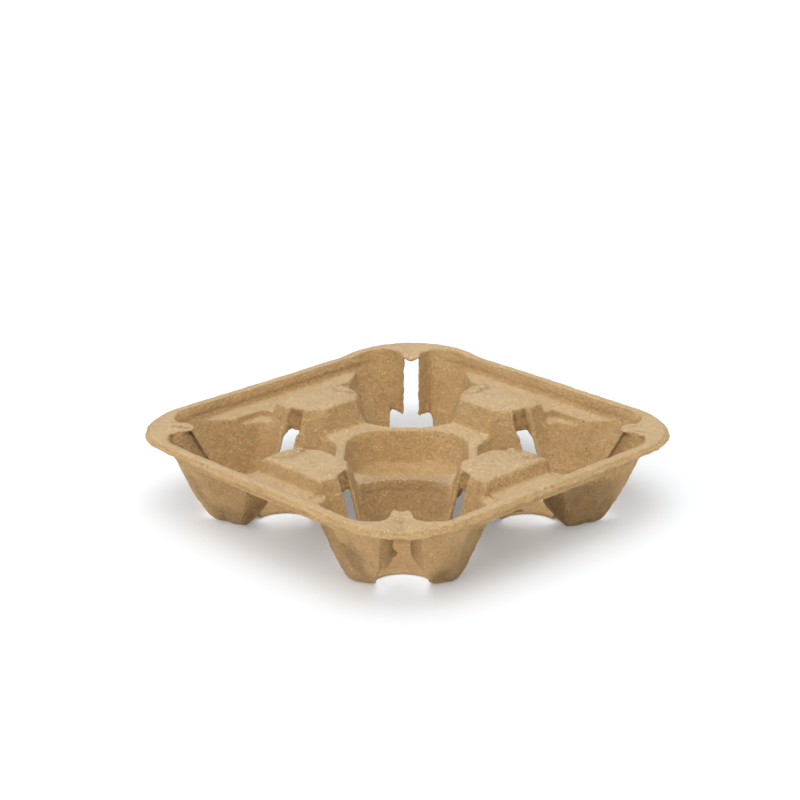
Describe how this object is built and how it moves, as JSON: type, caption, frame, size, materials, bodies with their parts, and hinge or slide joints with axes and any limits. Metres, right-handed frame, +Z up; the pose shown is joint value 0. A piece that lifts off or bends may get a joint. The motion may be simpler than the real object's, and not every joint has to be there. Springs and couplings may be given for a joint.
{
  "type": "moulded pulp cup carrier",
  "caption": "Square moulded pulp tray with a cup pocket in each corner, raised islands between the pockets and a turned-down rim, for carrying drinks.",
  "frame": {"origin": "on the floor under the middle of the carrier", "axes": "+Z up, +X and +Y square to the straight sides of the rim"},
  "size_m": [0.216, 0.216, 0.0478],
  "materials": {
    "pulp": "rough unbleached moulded paper pulp with fibres"
  },
  "bodies": {
    "root": {"carrier_tray": "pulp"}
  },
  "joints": []
}
